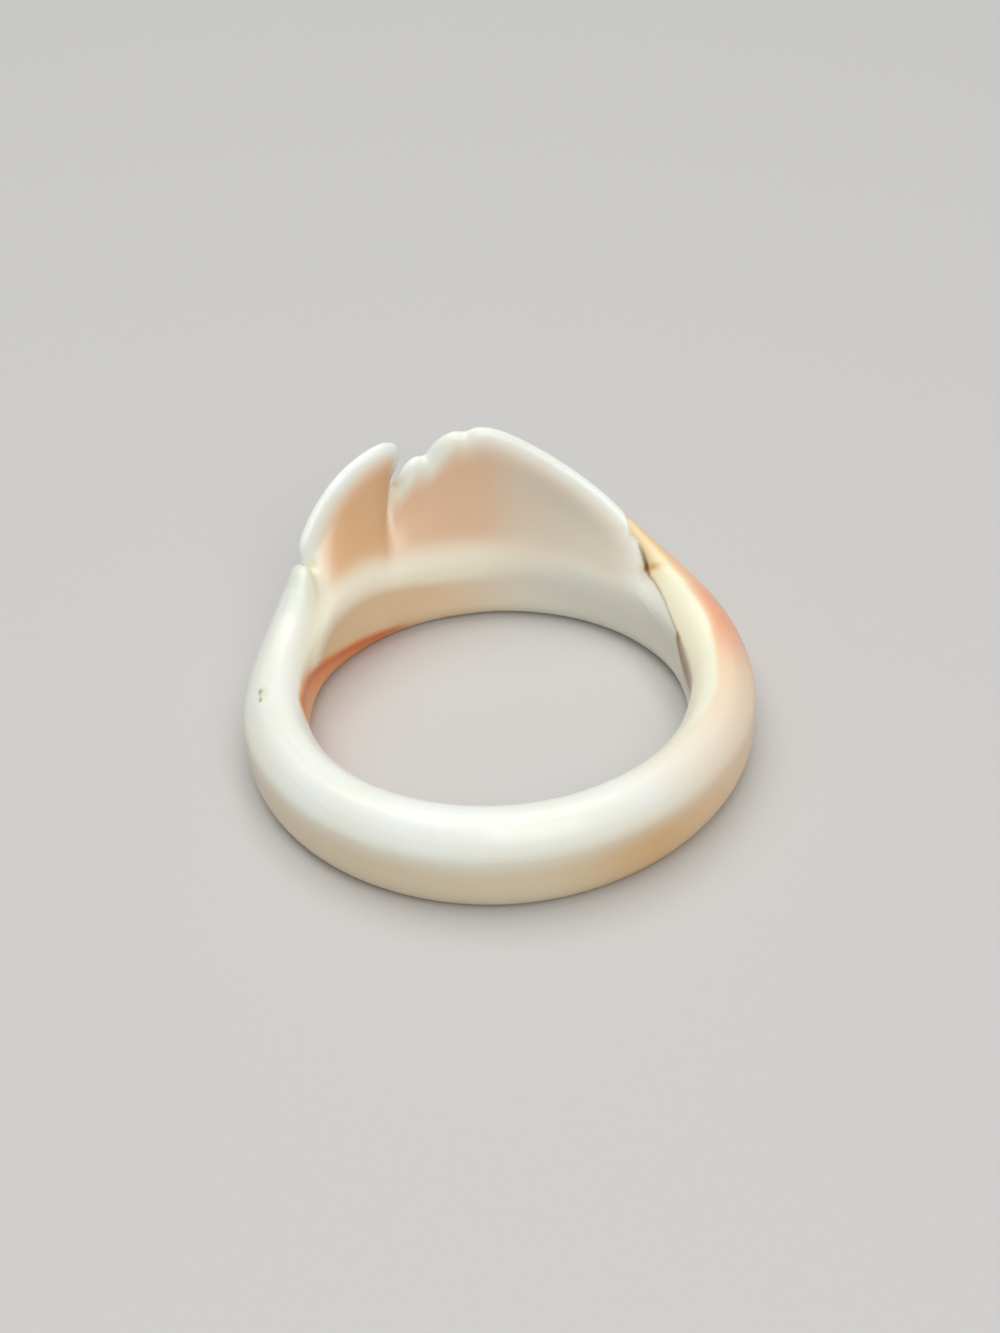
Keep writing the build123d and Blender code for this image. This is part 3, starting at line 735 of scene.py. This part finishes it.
# The left shoulder's step, with painted shade, reflection and shadow on its facets, and a painted
# white highlight on the edge beside the crack. The crack is brown where it is open, with an amber
# stain that has soaked in beside the pit.
look = in_layers(look, [
    ("inner_facet_shade", (242, 234, 204), 0.6, False),
    ("top_facet_reflection", (214, 221, 202), 0.7, False),
    ("crack_edge_highlight", (246, 250, 240), 0.6, False),
    ("facet_shadow_line", (206, 216, 200), 0.4, False),
    ("soaked", (240, 208, 150), 0.75, False),
    ("amber", (208, 158, 74), 0.85, False),
])
seam_wavy = wavy("seam", mottle(0.5), 0.10)
seam_near = maths("DIVIDE", seam_wavy, field("seam_half"))
crack = maths("MULTIPLY", near(seam_near, 0.0, 2.2), field("seam_dark"))
halo = maths("MULTIPLY", near(seam_near, 0.8, 5.0), field("seam_dark"))
# The brown wedge on the bore wall is painted shadow.
shadow_wedge_share = maths("MULTIPLY", near(field("shadow_wedge"), 0.1, 1.4), field("shadow_wedge_dark"))
look = tinted(look, halo, colour(214, 178, 118), 0.4)
look = tinted(look, crack, colour(122, 90, 38), 0.9)
look = tinted(look, near(field("pit_reach"), 0.04, 0.26), colour(110, 78, 28), 0.85)
look = tinted(look, shadow_wedge_share, colour(154, 94, 22), 0.9)


def spot_distance(mark, spot, stretch):
    """Distance in mm from a spot of a mark, given as (round, along) from the mark's own middle:
    the root of the two offsets' squares, the one along the ring divided by stretch."""
    offset_round = maths("SUBTRACT", field(mark + "_round"), spot[0])
    offset_along = maths("SUBTRACT", field(mark + "_along"), spot[1])
    return root_of_squares(offset_round, maths("DIVIDE", offset_along, stretch))


# Small marks of wear. Each spot gives its mark, its own place in it, its stretch along the ring,
# where it is full and where it ends, its colour, and the most of it.
hair_line = maths("MULTIPLY", near(field("hair"), 0.0, 0.05), field("hair_dark"))
look = tinted(look, hair_line, colour(196, 204, 190), 0.18)
for mark, spot, stretch, full, gone, tone, most in (
    ("chip", (-0.12, 0.2), 1.6, 0.05, 0.45, (218, 228, 166), 0.45),    # greenish stain
    ("chip", (0.0, 0.33), 7.0, 0.01, 0.07, (136, 138, 96), 0.3),       # scratch between the dots
    ("chip", (0.0, 0.0), 1.5, 0.0, 0.2, (112, 112, 70), 0.6),          # first dot
    ("chip", (0.02, 0.6), 1.5, 0.0, 0.16, (112, 112, 70), 0.6),        # second dot
    ("mark", (0.0, 0.0), 0.25, 0.02, 0.2, (140, 144, 134), 0.4),       # three grey scratches
    ("mark", (0.72, 0.2), 0.25, 0.02, 0.2, (140, 144, 134), 0.4),
    ("mark", (0.24, 0.37), 0.25, 0.02, 0.2, (140, 144, 134), 0.4),
):
    look = tinted(look, near(spot_distance(mark, spot, stretch), full, gone), colour(*tone), most)
links.new(look, principled.inputs["Base Color"])

# The polish is a little uneven and duller in the crack, and a little light sinks into the shell.
rough = maths("MULTIPLY_ADD", middling, 0.10, 0.30)
rough = maths("ADD", rough, maths("MULTIPLY", crack, 0.3), clamp=True)
links.new(rough, principled.inputs["Roughness"])
for name, value in (
    ("IOR", 1.53), ("Coat Weight", 0.25), ("Coat Roughness", 0.12), ("Subsurface Weight", 0.25),
    ("Subsurface Radius", (1.0, 0.55, 0.35)), ("Subsurface Scale", 0.0007),
):
    principled.inputs[name].default_value = value

# Fine relief: middling waves, a trace of fine ones, and the crack.
RELIEF_DEPTH = 0.00003    # metres
relief = maths("ADD", maths("MULTIPLY", fine, 0.1), middling)
relief = maths("SUBTRACT", relief, maths("MULTIPLY", crack, 2.0))
bump = nodes.new("ShaderNodeBump")
bump.inputs["Strength"].default_value = 0.25
bump.inputs["Distance"].default_value = RELIEF_DEPTH
links.new(relief, bump.inputs["Height"])
links.new(bump.outputs["Normal"], principled.inputs["Normal"])

ring_mesh.materials.append(shell)
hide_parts("carved_ring")
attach(ring, "root")

# The table: a plain pale sheet, level with the flat underside that the ring lies on. From here
# on all lengths are metres.
TABLE_HALF = 1.5
table_z = -BAND_WIDTH / 2000
corners = ((-1, -1), (1, -1), (1, 1), (-1, 1))
table_mesh = bpy.data.meshes.new("table")
table_mesh.from_pydata([(x * TABLE_HALF, y * TABLE_HALF, table_z) for x, y in corners], [], [(0, 1, 2, 3)])
table = bpy.data.objects.new("table", table_mesh)
bpy.context.collection.objects.link(table)
paper = bpy.data.materials.new("pale_paper")
paper.use_nodes = True
paper_finish = paper.node_tree.nodes["Principled BSDF"]
paper_finish.inputs["Base Color"].default_value = (0.62, 0.61, 0.60, 1)
paper_finish.inputs["Roughness"].default_value = 0.8
table_mesh.materials.append(paper)


# Soft studio light: a large panel overhead and a little behind, another from the front right,
# and an even pale surround.
def panel(name, spot, size, power, tone):
    """A square area light at spot, facing the bore's centre, with its power in watts."""
    light = bpy.data.lights.new(name, "AREA")
    light.size, light.energy, light.color = size, power, tone
    lamp = bpy.data.objects.new(name, light)
    bpy.context.collection.objects.link(lamp)
    lamp.location = spot
    lamp.rotation_euler = (-Vector(spot)).to_track_quat("-Z", "Y").to_euler()


panel("overhead", spot=(-0.03, 0.06, 0.32), size=0.30, power=0.64, tone=(1.0, 1.0, 0.98))
panel("front", spot=(0.06, -0.24, 0.30), size=0.26, power=0.57, tone=(1.0, 0.99, 0.95))
world = bpy.data.worlds.new("studio")
bpy.context.scene.world = world
world.use_nodes = True
surround = world.node_tree.nodes["Background"]
surround.inputs["Color"].default_value = (0.95, 0.97, 1.0, 1)
surround.inputs["Strength"].default_value = 0.30

# The camera stands in front of the band and looks down on it at the photograph's angle. It aims
# at the bore's centre, and its shift puts that centre where the photograph has it.
ELEVATION = np.radians(39.85)        # above the table
ROLL = np.radians(3.1)               # about its own line of sight
DISTANCE = 0.110                     # from the bore's centre
PIXELS_PER_MM = 22.12                # in the photograph, at the bore's centre
CENTRE_X, CENTRE_Y = 497.8, 700.6    # the bore's centre, in the photograph's pixels
FRAME_WIDTH, FRAME_HEIGHT = 1000, 1333
SENSOR = 36.0                        # millimetres, along the frame's height
forward = Vector((0, np.cos(ELEVATION), -np.sin(ELEVATION)))
level_up = Vector((0, np.sin(ELEVATION), np.cos(ELEVATION)))
level_right = Vector((1, 0, 0))
right = level_right * np.cos(ROLL) - level_up * np.sin(ROLL)
up = level_right * np.sin(ROLL) + level_up * np.cos(ROLL)
camera_data = bpy.data.cameras.new("camera")
camera = bpy.data.objects.new("camera", camera_data)
bpy.context.collection.objects.link(camera)
turned_to = Matrix((right, up, -forward)).transposed().to_4x4()
camera.matrix_world = Matrix.Translation(-forward * DISTANCE) @ turned_to
camera_data.sensor_width = SENSOR
camera_data.lens = PIXELS_PER_MM * DISTANCE * 1000 / FRAME_HEIGHT * SENSOR
camera_data.shift_x = (FRAME_WIDTH / 2 - CENTRE_X) / FRAME_HEIGHT
camera_data.shift_y = (CENTRE_Y - FRAME_HEIGHT / 2) / FRAME_HEIGHT
camera_data.clip_start, camera_data.clip_end = 0.001, 10.0
bpy.context.scene.camera = camera
bpy.context.scene.view_settings.view_transform = "Standard"
